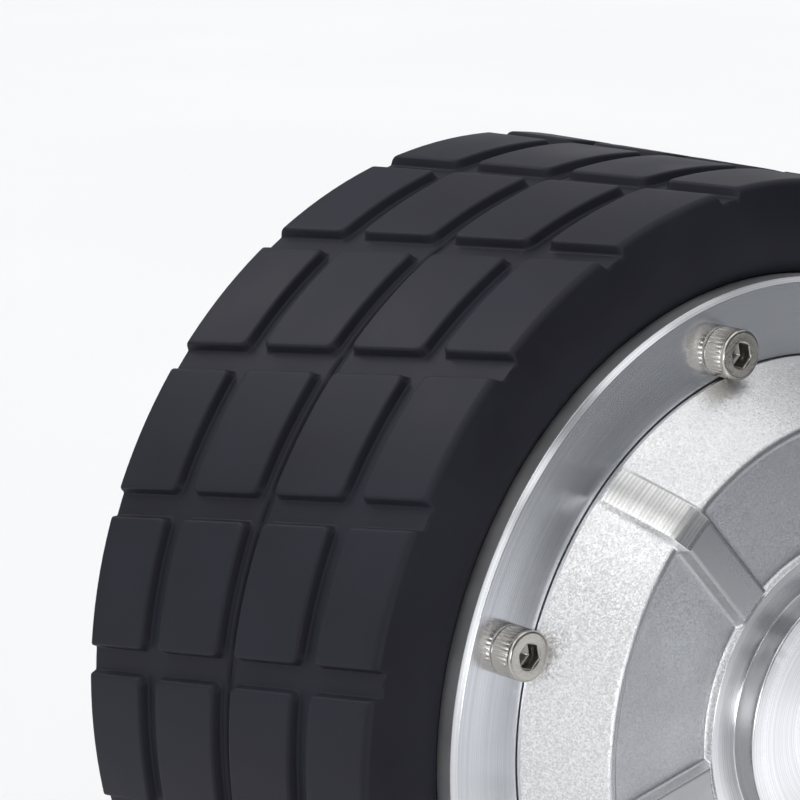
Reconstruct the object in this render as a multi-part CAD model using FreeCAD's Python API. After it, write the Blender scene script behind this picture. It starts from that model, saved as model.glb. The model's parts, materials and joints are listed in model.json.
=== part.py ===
import FreeCAD, Part
import math
import os

# Robot drive wheel: a gearless hub motor with a rubber tyre, turning on a fixed hollow axle.
# The wheel turns about Y. The closed face looks along -Y and the axle leaves along +Y.
# The origin is the wheel's centre, in the tyre's middle plane. Sizes are in millimetres.

# Tyre
tread_radius = 57.0
tyre_width = 48.8
tread_depth = 1.0
groove_draft = 18.0
row_groove_mouth = 3.0
row_pitch = 13.2
row_groove_count = 3
cross_groove_mouth = 3.3
cross_groove_count = 20
cross_groove_skew = 9.5
cross_groove_angle = 10.8
shoulder_radius = 1.5
sidewall_bulge = 0.35
sidewall_inset = 0.45

# Screws that hold the two covers to the rim
screw_count = 6
screw_circle = 40.7
screw_angle = 12.7
screw_head_radius = 2.75
screw_head_height = 3.0
screw_head_round = 0.25
screw_radius = 1.5
screw_grip = 6.0
socket_across_flats = 2.5
socket_depth = 1.6
screw_hole_clearance = 0.2
tapped_hole_spare = 1.5

# Rim
flange_margin = 5.8
rim_setback = 0.5
rim_web = 1.6
rim_key_width = 4.0
rim_key_depth = 0.8
rim_key_offset = 10.0

# Covers
flange_thickness = 2.05
flange_round = 0.45
head_to_step = 0.05
step_height = 0.6
cone_run = 5.0
cone_rise = 8.4
cover_wall = 3.0
ridge_round = 1.2
land_height = 0.6
land_width = 3.3
land_blend = 0.8
boss_height = 2.7
boss_round = 0.25
boss_wall = 1.5
boss_floor = 2.3
pocket_wall = 3.5
spigot_length = 3.0
spigot_wall = 3.0
spigot_clearance = 0.02
rib_count = 6
rib_width = 4.6
rib_height = 0.75
rib_rise = 1.0
rib_knee = 1.3
seal_groove_width = 1.5
seal_groove_depth = 1.3
seal_section_clearance = 0.02

# Rotor and stator
yoke_wall = 2.6
yoke_length = 30.0
magnet_count = 30
magnet_thickness = 2.2
magnet_length = 24.0
magnet_gap = 0.8
air_gap = 0.5
slot_count = 27
stack_length = 22.0
stator_depth = 11.8
back_iron = 3.0
tooth_width = 2.8
shoe_thickness = 1.3
slot_mouth = 1.6
insulator_thickness = 0.8
coil_side = 0.95
coil_overhang = 2.2
coil_clearance = 0.25
hub_length = 18.4
hub_hole_radius = 2.4
hub_hole_count = 6
key_width = 4.0
key_length = 12.0
circlip_thickness = 1.1
circlip_height = 2.6
circlip_groove_depth = 0.6
circlip_opening = 4.0

# Axle
front_journal_radius = 6.0
front_shaft_radius = 8.0
stator_seat_radius = 10.0
collar_radius = 12.5
collar_width = 4.0
axle_radius = 8.5
axle_shoulder = 1.7
axle_clamp_radius = 8.0
axle_round_length = 16.0
relief_width = 1.0
relief_depth = 0.3
axle_tip_radius = 7.5
axle_flat_length = 16.0
flat_setback = 1.5
across_flats = 12.0
axle_chamfer = 0.8
axle_bore_radius = 4.5
axle_bore_end = 16.0
wire_hole_radius = 2.8
wire_hole_margin = 1.0
grommet_hole_radius = 3.0
grommet_length = 9.0
grommet_lip_radius = 5.8
grommet_lip_thickness = 1.5

# Bearings
front_outer_radius = 14.0
front_race_share = 0.275
front_bearing_width = 8.0
front_ball_share = 0.2975
front_ball_count = 8
front_cage_clearance = 0.8
rear_outer_radius = 15.0
rear_race_share = 0.277
rear_bearing_width = 7.0
rear_ball_share = 0.277
rear_ball_count = 11
rear_cage_clearance = 0.45
ball_clearance = 0.03
pocket_clearance = 0.1
cage_bridge_share = 0.5
shield_thickness = 0.3
shield_inset = 0.25
shield_clearance = 0.3
wave_height = 0.2
wave_thickness = 0.3
wave_count = 3
wave_margin = 0.3

# Shaft seal at the rear cover
seal_thickness = 3.2
seal_wall = 5.0
seal_lip_clearance = 0.05
bearing_lip = 0.8
bearing_lip_height = 1.8

# Encoder behind the front cover
encoder_ring_wall = 3.0
encoder_ring_length = 2.4
encoder_gap = 1.2
sensor_height = 1.0
sensor_size = 3.6
sensor_count = 3
board_thickness = 1.6
board_margin = 2.5
board_shaft_gap = 1.2
post_count = 3
post_radius = 2.2
board_screw_radius = 1.0
board_screw_head_radius = 1.9
board_screw_head_height = 1.2
board_screw_grip = 4.0

# Places worked out from the sizes above
tyre_half = tyre_width / 2
rim_half = tyre_half - sidewall_inset
flange_radius = screw_circle + flange_margin
rim_radius = flange_radius - rim_setback
rim_bore = screw_circle - screw_radius - rim_web
flange_face = rim_half + flange_thickness
step_radius = screw_circle - screw_head_radius - head_to_step
step_face = flange_face + step_height
ridge_radius = step_radius - cone_run
plateau = step_face + cone_rise
land_face = plateau + land_height
boss_face = land_face + boss_height
boss_radius = front_outer_radius + boss_wall
land_radius = boss_radius + land_width
spigot_radius = rim_bore - spigot_clearance
spigot_bore = rim_bore - spigot_wall
spigot_end = rim_half - spigot_length

pocket_floor = boss_face - boss_floor
wave_space = 2 * wave_height + wave_thickness
front_bearing_out = pocket_floor - wave_space
front_bearing_in = front_bearing_out - front_bearing_width
rear_lip_in = boss_face - seal_thickness - bearing_lip
rear_bearing_in = rear_lip_in - rear_bearing_width
seal_radius = axle_radius + seal_wall
front_pocket_radius = front_outer_radius + pocket_wall
rear_pocket_radius = rear_outer_radius + pocket_wall

yoke_bore = rim_bore - yoke_wall
magnet_bore = yoke_bore - magnet_thickness
stator_radius = magnet_bore - air_gap
stator_bore = stator_radius - stator_depth
slot_floor = stator_bore + back_iron
shoe_inside = stator_radius - shoe_thickness
stack_half = stack_length / 2
hub_half = hub_length / 2
hub_hole_circle = (stator_seat_radius + circlip_height + stator_bore) / 2
post_circle = hub_hole_circle

front_section = front_outer_radius - front_journal_radius
front_race_wall = front_race_share * front_section
front_ball_radius = front_ball_share * front_section
rear_section = rear_outer_radius - axle_radius
rear_race_wall = rear_race_share * rear_section
rear_ball_radius = rear_ball_share * rear_section

shoulder_end = boss_face + axle_shoulder
clamp_start = shoulder_end + relief_width
axle_round_end = clamp_start + axle_round_length
axle_end = axle_round_end + axle_flat_length
front_axle_end = front_bearing_out - shield_inset

encoder_ring_radius = front_pocket_radius + encoder_ring_wall
sensor_circle = (front_pocket_radius + encoder_ring_radius) / 2
board_front = front_bearing_in - encoder_gap - sensor_height
board_back = board_front - board_thickness
board_radius = sensor_circle + board_margin
board_bore = front_shaft_radius + board_shaft_gap

Y_AXIS = FreeCAD.Vector(0, 1, 0)
ORIGIN = FreeCAD.Vector(0, 0, 0)


def round_corner(before, corner, after, radius):
    """Start, middle and end of the arc that rounds a corner."""
    back = (before - corner).normalize()
    ahead = (after - corner).normalize()
    half_angle = back.getAngle(ahead) / 2
    reach = radius / math.tan(half_angle)
    inward = (back + ahead).normalize()
    middle = corner + inward * (radius / math.sin(half_angle) - radius)
    return corner + back * reach, middle, corner + ahead * reach


def turned(points):
    """Solid of revolution about Y from (radius, y) corners, some with a third number that rounds them."""
    corners = [FreeCAD.Vector(point[0], point[1], 0) for point in points]
    arcs = []
    for index, point in enumerate(points):
        corner = corners[index]
        arc = (corner, corner, corner)
        if len(point) == 3:
            arc = round_corner(corners[index - 1], corner, corners[(index + 1) % len(corners)], point[2])
        arcs.append(arc)
    edges = []
    for index, (start, middle, end) in enumerate(arcs):
        if start != end:
            edges.append(Part.Arc(start, middle, end).toShape())
        following = arcs[(index + 1) % len(arcs)][0]
        edges.append(Part.LineSegment(end, following).toShape())
    return Part.Face(Part.Wire(edges)).revolve(ORIGIN, Y_AXIS, 360)


def rod(radius, low, high):
    """Solid cylinder on Y between two places."""
    return Part.makeCylinder(radius, high - low, FreeCAD.Vector(0, low, 0), Y_AXIS)


def ring(inner, outer, low, high):
    """Plain ring on Y between two places."""
    return turned([(inner, low), (outer, low), (outer, high), (inner, high)])


def at_angle(shape, angle):
    """Copy of a shape turned about Y, from +Z towards -X."""
    copy = shape.copy()
    copy.rotate(ORIGIN, Y_AXIS, -angle)
    return copy


def around(shape, count, start=0.0):
    """Evenly spaced copies about Y."""
    return [at_angle(shape, start + 360.0 * index / count) for index in range(count)]


def peg(radius, low, high, circle):
    """Cylinder parallel to Y at a distance above the axis."""
    return Part.makeCylinder(radius, high - low, FreeCAD.Vector(0, low, circle), Y_AXIS)


def block(width, low, high, inside, outside):
    """Box centred on the YZ plane, between two places and two heights."""
    corner = FreeCAD.Vector(-width / 2, low, inside)
    return Part.makeBox(width, high - low, outside - inside, corner)


def to_rear(shape):
    """Copy of a front piece turned about Z to the rear side."""
    copy = shape.copy()
    copy.rotate(ORIGIN, FreeCAD.Vector(0, 0, 1), 180)
    return copy


def prism(points, low, high):
    """Solid between two places on Y from (x, z) corners."""
    corners = [FreeCAD.Vector(x, low, z) for x, z in points]
    face = Part.Face(Part.makePolygon(corners + corners[:1]))
    return face.extrude(FreeCAD.Vector(0, high - low, 0))


def save(node, shapes):
    """Write one sub-part, as one solid or a group of solids."""
    group = shapes if isinstance(shapes, list) else [shapes]
    shape = group[0] if len(group) == 1 else Part.makeCompound(group)
    shape.exportStep("parts/" + node + ".step")


def tyre_section():
    """Face of the tyre's section: bore with keys, sidewalls, round shoulders and row grooves."""
    floor_radius = tread_radius - tread_depth
    mouth = row_groove_mouth / 2
    floor = mouth - tread_depth * math.tan(math.radians(groove_draft))
    shoulder = tread_radius - shoulder_radius
    diagonal = shoulder_radius * math.sqrt(0.5)
    tread_edge = tyre_half - shoulder_radius
    wall_radius = (flange_radius + shoulder) / 2

    def point(radius, y):
        return FreeCAD.Vector(radius, y, 0)

    tread = [point(tread_radius, -tread_edge)]
    for index in range(row_groove_count):
        middle = (index - (row_groove_count - 1) / 2) * row_pitch
        tread.append(point(tread_radius, middle - mouth))
        tread.append(point(floor_radius, middle - floor))
        tread.append(point(floor_radius, middle + floor))
        tread.append(point(tread_radius, middle + mouth))
    tread.append(point(tread_radius, tread_edge))

    key_radius = rim_radius - rim_key_depth
    near_key = rim_key_offset - rim_key_width / 2
    far_key = rim_key_offset + rim_key_width / 2
    bore = [point(rim_radius, rim_half)]
    for low, high in ((near_key, far_key), (-far_key, -near_key)):
        bore.append(point(rim_radius, high))
        bore.append(point(key_radius, high))
        bore.append(point(key_radius, low))
        bore.append(point(rim_radius, low))
    bore.append(point(rim_radius, -rim_half))

    edges = Part.makePolygon(tread).Edges + Part.makePolygon(bore).Edges
    for side in (1, -1):
        bead = point(flange_radius + rim_setback, side * rim_half)
        edges.append(Part.LineSegment(point(rim_radius, side * rim_half), bead).toShape())
        bulge = point(wall_radius, side * (tyre_half + sidewall_bulge))
        shoulder_end = point(shoulder, side * tyre_half)
        edges.append(Part.Arc(bead, bulge, shoulder_end).toShape())
        middle = point(shoulder + diagonal, side * (tread_edge + diagonal))
        edges.append(Part.Arc(shoulder_end, middle, point(tread_radius, side * tread_edge)).toShape())
    return Part.Face(Part.Wire(Part.__sortEdges__(edges)))


def make_tyre():
    """Rubber tyre with rows of tread blocks parted by skewed cross grooves."""
    tyre = tyre_section().revolve(ORIGIN, Y_AXIS, 360)
    taper = tread_depth * math.tan(math.radians(groove_draft))
    floor_radius = tread_radius - tread_depth
    top_radius = tread_radius + tread_depth
    mouth = cross_groove_mouth / 2
    outline = [
        (-mouth + taper, floor_radius),
        (mouth - taper, floor_radius),
        (mouth + taper, top_radius),
        (-mouth - taper, top_radius),
    ]
    cutter = prism(outline, -tyre_width, tyre_width)
    cutter.rotate(ORIGIN, FreeCAD.Vector(0, 0, 1), cross_groove_skew)
    cutters = around(cutter, cross_groove_count, cross_groove_angle)
    return tyre.cut(cutters)


def make_rim():
    """Aluminium rim under the tyre, tapped at both ends for the covers."""
    rim = ring(rim_bore, rim_radius, -rim_half, rim_half)
    near_key = rim_key_offset - rim_key_width / 2
    far_key = rim_key_offset + rim_key_width / 2
    key_radius = rim_radius - rim_key_depth
    cuts = [ring(key_radius, tread_radius, near_key, far_key)]
    cuts.append(ring(key_radius, tread_radius, -far_key, -near_key))
    tapped_end = rim_half - screw_grip - tapped_hole_spare
    hole = peg(screw_radius, -rim_half, -tapped_end, screw_circle)
    front_holes = around(hole, screw_count, screw_angle)
    rear_holes = [to_rear(front_hole) for front_hole in front_holes]
    return rim.cut(cuts + front_holes + rear_holes)


def cone_line(offset):
    """Point and direction of the cover's cone moved outwards by an offset."""
    length = math.hypot(cone_run, cone_rise)
    along = (cone_run / length, -cone_rise / length)
    outward = (cone_rise / length, cone_run / length)
    start = (ridge_radius + offset * outward[0], plateau + offset * outward[1])
    return start, along


def cone_at_face(offset, face):
    """Radius at which the moved cone reaches an axial place."""
    start, along = cone_line(offset)
    return start[0] + (face - start[1]) / along[1] * along[0]


def cone_at_radius(offset, radius):
    """Axial place at which the moved cone reaches a radius."""
    start, along = cone_line(offset)
    return start[1] + (radius - start[0]) / along[0] * along[1]


def cover_outside():
    """Outer corners of a cover from the boss to the flange, with their distances from the middle."""
    return [
        (boss_radius, boss_face, boss_round),
        (boss_radius, land_face),
        (land_radius, land_face),
        (land_radius + land_blend, plateau, land_blend),
        (ridge_radius, plateau, ridge_round),
        (step_radius, step_face),
        (step_radius, flange_face),
        (flange_radius, flange_face, flange_round),
        (flange_radius, rim_half),
    ]


def cover_inside(pocket_radius, hub_end):
    """Inner corners of a cover from the flange to its bearing hub."""
    inside = plateau - cover_wall
    groove_radius = spigot_radius - seal_groove_depth
    groove_end = rim_half - (spigot_length - seal_groove_width) / 2
    groove_start = groove_end - seal_groove_width
    return [
        (spigot_radius, rim_half),
        (spigot_radius, groove_end),
        (groove_radius, groove_end),
        (groove_radius, groove_start),
        (spigot_radius, groove_start),
        (spigot_radius, spigot_end),
        (spigot_bore, spigot_end),
        (spigot_bore, cone_at_radius(-cover_wall, spigot_bore)),
        (cone_at_face(-cover_wall, inside), inside),
        (pocket_radius, inside),
        (pocket_radius, hub_end),
    ]


def cover_rib():
    """One raised rib, up the cone and along the plateau to the boss."""
    top = plateau + rib_rise
    knee_radius = cone_at_face(rib_height, top)
    along = cone_line(0)[1]
    low_knee = (knee_radius + rib_knee * along[0], top + rib_knee * along[1])
    buried = plateau - cover_wall / 2
    outline = [
        (land_radius, land_face - land_height),
        (land_radius, top),
        (knee_radius - rib_knee, top),
        low_knee,
        (step_radius, cone_at_radius(rib_height, step_radius)),
        (step_radius, step_face - step_height),
        (cone_at_face(-cover_wall / 2, step_face), step_face - step_height),
        (cone_at_face(-cover_wall / 2, buried), buried),
        (land_radius, buried),
    ]
    corners = [FreeCAD.Vector(-rib_width / 2, -distance, radius) for radius, distance in outline]
    face = Part.Face(Part.makePolygon(corners + corners[:1]))
    return face.extrude(FreeCAD.Vector(rib_width, 0, 0))


def finish_cover(section):
    """Cover from its section, with ribs and screw holes, on the front side."""
    cover = turned([(point[0], -point[1]) + point[2:] for point in section])
    rib_angle = screw_angle + 180.0 / screw_count
    cover = cover.fuse(around(cover_rib(), rib_count, rib_angle))
    turned_edge = ring(step_radius, flange_radius, -boss_face, -flange_face)
    hole = peg(screw_radius + screw_hole_clearance, -boss_face, 0, screw_circle)
    holes = around(hole, screw_count, screw_angle)
    return cover.cut([turned_edge] + holes).removeSplitter()


def make_front_cover():
    """Closed cover with a blind pocket for the front bearing."""
    pocket = [
        (front_outer_radius, front_bearing_in),
        (front_outer_radius, pocket_floor),
        (0, pocket_floor),
        (0, boss_face),
    ]
    inside = cover_inside(front_pocket_radius, front_bearing_in)
    return finish_cover(cover_outside() + inside + pocket)


def make_rear_cover():
    """Cover with a bearing pocket, a lip behind it and a seat for the shaft seal."""
    pocket = [
        (rear_outer_radius, rear_bearing_in),
        (rear_outer_radius, rear_lip_in),
        (rear_outer_radius - bearing_lip_height, rear_lip_in),
        (rear_outer_radius - bearing_lip_height, rear_lip_in + bearing_lip),
        (seal_radius, rear_lip_in + bearing_lip),
        (seal_radius, boss_face),
    ]
    inside = cover_inside(rear_pocket_radius, rear_bearing_in)
    return to_rear(finish_cover(cover_outside() + inside + pocket))


def make_cover_screws():
    """Socket-head screws of the front cover."""
    head = rod(screw_head_radius, -screw_head_height, 0)
    rim_edge = [edge for edge in head.Edges if abs(edge.BoundBox.YMax + screw_head_height) < 1e-6]
    head = head.makeFillet(screw_head_round, rim_edge)
    corner = socket_across_flats / math.sqrt(3)
    angles = [math.radians(60 * index) for index in range(6)]
    hexagon = [(corner * math.cos(angle), corner * math.sin(angle)) for angle in angles]
    socket = prism(hexagon, -screw_head_height, -screw_head_height + socket_depth)
    screw = head.fuse(rod(screw_radius, 0, flange_thickness + screw_grip)).cut(socket)
    screw.translate(FreeCAD.Vector(0, -flange_face, screw_circle))
    return around(screw, screw_count, screw_angle)


def make_cover_seal():
    """Rubber ring between the front cover's spigot and the rim."""
    floor_radius = spigot_radius - seal_groove_depth
    section = (rim_bore - floor_radius) / 2 - seal_section_clearance
    middle = (rim_bore + floor_radius) / 2
    place = -(rim_half - spigot_length / 2)
    return Part.makeTorus(middle, section, FreeCAD.Vector(0, place, 0), Y_AXIS)


def make_magnets():
    """Arc magnets inside the yoke."""
    shell = ring(magnet_bore, yoke_bore, -magnet_length / 2, magnet_length / 2)
    gap = block(magnet_gap, -magnet_length, magnet_length, 0, rim_radius)
    return shell.cut(around(gap, magnet_count)).Solids


def slot_corners():
    """Corners of one slot between two teeth, as (x, z)."""
    half_pitch = math.radians(180.0 / slot_count)

    def beside_tooth(radius):
        angle = half_pitch - math.asin(tooth_width / 2 / radius)
        return (radius * math.sin(angle), radius * math.cos(angle))

    mouth = slot_mouth / 2
    right = [
        beside_tooth(slot_floor),
        beside_tooth(shoe_inside),
        (mouth, shoe_inside),
        (mouth, stator_radius + air_gap),
    ]
    return right + [(-x, z) for x, z in reversed(right)]


def laminations(low, high):
    """Slotted ring of the stator's outline between two places."""
    body = ring(stator_bore, stator_radius, low, high)
    slot = prism(slot_corners(), low, high)
    return body.cut(around(slot, slot_count, 180.0 / slot_count))


def make_windings():
    """One coil on each tooth."""
    inner_width = tooth_width + 2 * coil_clearance
    inner_half = stack_half + insulator_thickness + coil_clearance
    outer_width = inner_width + 2 * coil_side
    outer_half = inner_half + coil_overhang
    inside = slot_floor + coil_clearance + coil_side
    outside = shoe_inside - coil_clearance
    coil = block(outer_width, -outer_half, outer_half, inside, outside)
    upright = [edge for edge in coil.Edges if edge.BoundBox.ZLength > outside - inside - 1e-6]
    coil = coil.makeFillet(coil_side, upright)
    coil = coil.cut(block(inner_width, -inner_half, inner_half, 0, tread_radius))
    return around(coil, slot_count)


def make_stator_hub():
    """Aluminium hub that carries the laminations on the axle."""
    hub = ring(stator_seat_radius, stator_bore, -hub_half, hub_half)
    holes = around(peg(hub_hole_radius, -hub_half, hub_half, hub_hole_circle), hub_hole_count)
    keyway = block(key_width, -hub_half, hub_half, 0, stator_seat_radius + key_width / 2)
    taps = peg(board_screw_radius, -hub_half, -hub_half + board_screw_grip, post_circle)
    return hub.cut(holes + [keyway] + around(taps, post_count, 180.0 / hub_hole_count))


def make_key():
    """Parallel key between axle and stator hub."""
    inside = stator_seat_radius - key_width / 2
    return block(key_width, -key_length / 2, key_length / 2, inside, inside + key_width)


def make_circlip():
    """Open spring ring in the axle's groove in front of the stator hub."""
    inside = stator_seat_radius - circlip_groove_depth
    outside = stator_seat_radius + circlip_height
    clip = ring(inside, outside, -hub_half - circlip_thickness, -hub_half)
    opening = block(circlip_opening, -hub_length, 0, -outside, 0)
    return clip.cut(opening)


def make_axle():
    """Hollow stepped axle, round where it is clamped and flattened at its end."""
    seat_start = -hub_half - 2 * circlip_thickness
    groove = stator_seat_radius - circlip_groove_depth
    axle = turned([
        (0, -front_axle_end),
        (front_journal_radius, -front_axle_end),
        (front_journal_radius, -front_bearing_in),
        (front_shaft_radius, -front_bearing_in),
        (front_shaft_radius, seat_start),
        (stator_seat_radius, seat_start),
        (stator_seat_radius, -hub_half - circlip_thickness),
        (groove, -hub_half - circlip_thickness),
        (groove, -hub_half),
        (stator_seat_radius, -hub_half),
        (stator_seat_radius, hub_half),
        (collar_radius, hub_half),
        (collar_radius, hub_half + collar_width),
        (stator_seat_radius, hub_half + collar_width),
        (stator_seat_radius, rear_bearing_in),
        (axle_radius, rear_bearing_in),
        (axle_radius, shoulder_end),
        (axle_clamp_radius - relief_depth, shoulder_end),
        (axle_clamp_radius - relief_depth, clamp_start),
        (axle_clamp_radius, clamp_start),
        (axle_clamp_radius, axle_round_end),
        (axle_tip_radius, axle_round_end + axle_clamp_radius - axle_tip_radius),
        (axle_tip_radius, axle_end - axle_chamfer),
        (axle_tip_radius - axle_chamfer, axle_end),
        (axle_bore_radius, axle_end),
        (axle_bore_radius, axle_bore_end),
        (0, axle_bore_end),
    ])
    wire_place = FreeCAD.Vector(0, axle_bore_end + wire_hole_margin + wire_hole_radius, 0)
    wire_hole = Part.makeCylinder(wire_hole_radius, collar_radius, wire_place, FreeCAD.Vector(0, 0, -1))
    flat_start = axle_round_end + flat_setback
    flats = []
    for low, high in ((across_flats / 2, axle_radius), (-axle_radius, -across_flats / 2)):
        flats.append(block(2 * axle_radius, flat_start, axle_end, low, high))
    return axle.cut([make_key(), wire_hole] + flats)


def make_grommet():
    """Rubber sleeve in the axle's open end, with a lip outside it."""
    return turned([
        (grommet_hole_radius, axle_end - grommet_length),
        (axle_bore_radius, axle_end - grommet_length),
        (axle_bore_radius, axle_end),
        (grommet_lip_radius, axle_end),
        (grommet_lip_radius, axle_end + grommet_lip_thickness),
        (grommet_hole_radius, axle_end + grommet_lip_thickness),
    ])


def make_bearing(name, bore, outside, wall, width, ball_radius, ball_count, cage_clearance, place):
    """Deep-groove ball bearing: two races, a cage, its balls and two shields."""
    cage_wall = outside - bore - 2 * (wall + cage_clearance)
    half = width / 2
    pitch = (bore + outside) / 2
    middle = FreeCAD.Vector(0, place, 0)
    track = Part.makeTorus(pitch, ball_radius + ball_clearance, middle, Y_AXIS)
    save(name + "_inner_race", ring(bore, bore + wall, place - half, place + half).cut(track))
    save(name + "_outer_race", ring(outside - wall, outside, place - half, place + half).cut(track))

    balls = []
    pockets = []
    pocket_radius = ball_radius + pocket_clearance
    for index in range(ball_count):
        angle = 2 * math.pi * index / ball_count
        outward = FreeCAD.Vector(math.sin(angle), 0, math.cos(angle))
        balls.append(Part.makeSphere(ball_radius, middle + outward * pitch))
        pockets.append(Part.makeCylinder(pocket_radius, outside, middle, outward))
    shield_room = half - shield_inset - shield_thickness - pocket_radius
    cage_half = pocket_radius + cage_bridge_share * shield_room
    cage = ring(pitch - cage_wall / 2, pitch + cage_wall / 2, place - cage_half, place + cage_half)
    save(name + "_cage", cage.cut(pockets))
    save(name + "_balls", balls)

    shields = []
    for side in (-1, 1):
        outer_face = place + side * (half - shield_inset)
        inner_face = outer_face - side * shield_thickness
        faces = sorted((outer_face, inner_face))
        shields.append(ring(bore + wall + shield_clearance, outside - wall, faces[0], faces[1]))
    save(name + "_shields", shields)


def make_wave_washer():
    """Thin wavy spring ring between the front bearing and its pocket."""
    middle = -(front_bearing_out + wave_space / 2) - wave_thickness / 2
    steps = 12 * wave_count

    def wave(radius):
        points = []
        for index in range(steps):
            angle = 2 * math.pi * index / steps
            y = middle + wave_height * math.cos(wave_count * angle)
            points.append(FreeCAD.Vector(radius * math.sin(angle), y, radius * math.cos(angle)))
        curve = Part.BSplineCurve()
        curve.interpolate(points, PeriodicFlag=True)
        return curve.toShape()

    inside = front_outer_radius - front_race_wall
    face = Part.makeRuledSurface(wave(inside), wave(front_outer_radius - wave_margin))
    return face.extrude(FreeCAD.Vector(0, wave_thickness, 0))


def make_encoder():
    """Magnet ring on the front cover's hub, and the sensor board on posts from the stator hub."""
    ring_low = -front_bearing_in
    magnet_ring = ring(front_pocket_radius, encoder_ring_radius, ring_low - encoder_ring_length, ring_low)
    save("encoder_magnet_ring", magnet_ring)

    post_start = 180.0 / hub_hole_count
    hole = peg(board_screw_radius, -board_front, -board_back, post_circle)
    board = ring(board_bore, board_radius, -board_front, -board_back)
    save("encoder_board", board.cut(around(hole, post_count, post_start)))

    chip_low = sensor_circle - sensor_size / 2
    chip = block(sensor_size, -board_front - sensor_height, -board_front, chip_low, chip_low + sensor_size)
    save("encoder_sensors", around(chip, sensor_count))

    post = peg(post_radius, -board_back, -hub_half, post_circle)
    stud = peg(board_screw_radius, -hub_half, -hub_half + board_screw_grip, post_circle)
    tap = peg(board_screw_radius, -board_back, -board_back + board_screw_grip, post_circle)
    save("encoder_board_posts", around(post.fuse(stud).cut(tap), post_count, post_start))

    head_low = -board_front - board_screw_head_height
    head = peg(board_screw_head_radius, head_low, -board_front, post_circle)
    shank = peg(board_screw_radius, -board_front, -board_back + board_screw_grip, post_circle)
    save("encoder_board_screws", around(head.fuse(shank), post_count, post_start))


os.makedirs("parts", exist_ok=True)

save("tyre", make_tyre())
save("rim", make_rim())
save("front_cover", make_front_cover())
save("rear_cover", make_rear_cover())
front_screws = make_cover_screws()
save("front_cover_screws", front_screws)
save("rear_cover_screws", [to_rear(screw) for screw in front_screws])
front_seal = make_cover_seal()
save("front_cover_seal", front_seal)
save("rear_cover_seal", to_rear(front_seal))

save("rotor_yoke", ring(yoke_bore, rim_bore, -yoke_length / 2, yoke_length / 2))
save("rotor_magnets", make_magnets())

save("stator_core", laminations(-stack_half, stack_half))
save("front_slot_insulator", laminations(-stack_half - insulator_thickness, -stack_half))
save("rear_slot_insulator", laminations(stack_half, stack_half + insulator_thickness))
save("stator_windings", make_windings())
save("stator_hub", make_stator_hub())
save("stator_key", make_key())
save("stator_circlip", make_circlip())

save("axle", make_axle())
save("cable_grommet", make_grommet())
seal_low = boss_face - seal_thickness
save("rear_shaft_seal", ring(axle_radius + seal_lip_clearance, seal_radius, seal_low, boss_face))

front_middle = -(front_bearing_in + front_bearing_out) / 2
make_bearing("front_bearing", front_journal_radius, front_outer_radius, front_race_wall,
             front_bearing_width, front_ball_radius, front_ball_count, front_cage_clearance, front_middle)
rear_middle = rear_bearing_in + rear_bearing_width / 2
make_bearing("rear_bearing", axle_radius, rear_outer_radius, rear_race_wall,
             rear_bearing_width, rear_ball_radius, rear_ball_count, rear_cage_clearance, rear_middle)
save("wave_washer", make_wave_washer())
make_encoder()
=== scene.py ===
import json
import math

import bmesh
import bpy
import numpy as np
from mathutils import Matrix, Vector


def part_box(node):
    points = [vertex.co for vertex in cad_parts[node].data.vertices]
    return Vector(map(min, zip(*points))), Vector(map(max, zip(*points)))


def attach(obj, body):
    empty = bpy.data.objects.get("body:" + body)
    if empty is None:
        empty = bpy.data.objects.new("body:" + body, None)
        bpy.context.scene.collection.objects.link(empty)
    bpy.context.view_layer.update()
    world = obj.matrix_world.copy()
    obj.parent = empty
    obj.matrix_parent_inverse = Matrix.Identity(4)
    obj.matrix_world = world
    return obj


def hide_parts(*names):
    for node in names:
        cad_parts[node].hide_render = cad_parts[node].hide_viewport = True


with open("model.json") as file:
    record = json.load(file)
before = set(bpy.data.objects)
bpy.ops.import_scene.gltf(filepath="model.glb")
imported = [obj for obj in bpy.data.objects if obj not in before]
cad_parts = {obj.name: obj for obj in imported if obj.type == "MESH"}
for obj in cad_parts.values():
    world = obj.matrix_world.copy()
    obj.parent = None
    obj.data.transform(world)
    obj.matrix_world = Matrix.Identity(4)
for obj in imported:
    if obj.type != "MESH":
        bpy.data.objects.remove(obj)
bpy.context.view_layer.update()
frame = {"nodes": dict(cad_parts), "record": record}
nodes = frame["nodes"]
mm = 0.001
scene = bpy.context.scene
scene.view_settings.view_transform = "Standard"
print("frame loaded:", len(nodes), "nodes")

# Boxes of the frame's pieces in metres, and what is taken from them in millimetres
tyreLow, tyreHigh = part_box("tyre")
coverLow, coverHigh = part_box("front_cover")
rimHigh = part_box("rim")[1]
grommetLow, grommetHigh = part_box("cable_grommet")
treadRadius = tyreHigh.z / mm
tyreSide = tyreHigh.y / mm
bossFace = -coverLow.y / mm
flangeRadius = coverHigh.z / mm
rimHalf = rimHigh.y / mm
rimRadius = rimHigh.z / mm
grommetStart = grommetLow.y / mm
grommetEnd = grommetHigh.y / mm
halfTurn = np.array([-1, -1, 1])  # brings a front piece to the rear


# Mesh helpers

weldReach = 2e-7  # metres, as the next two
shortestEdge = 1e-7
poleReach = 1e-6
flatFaceWeight = 70  # above 50, large faces count for more in the shading


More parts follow.
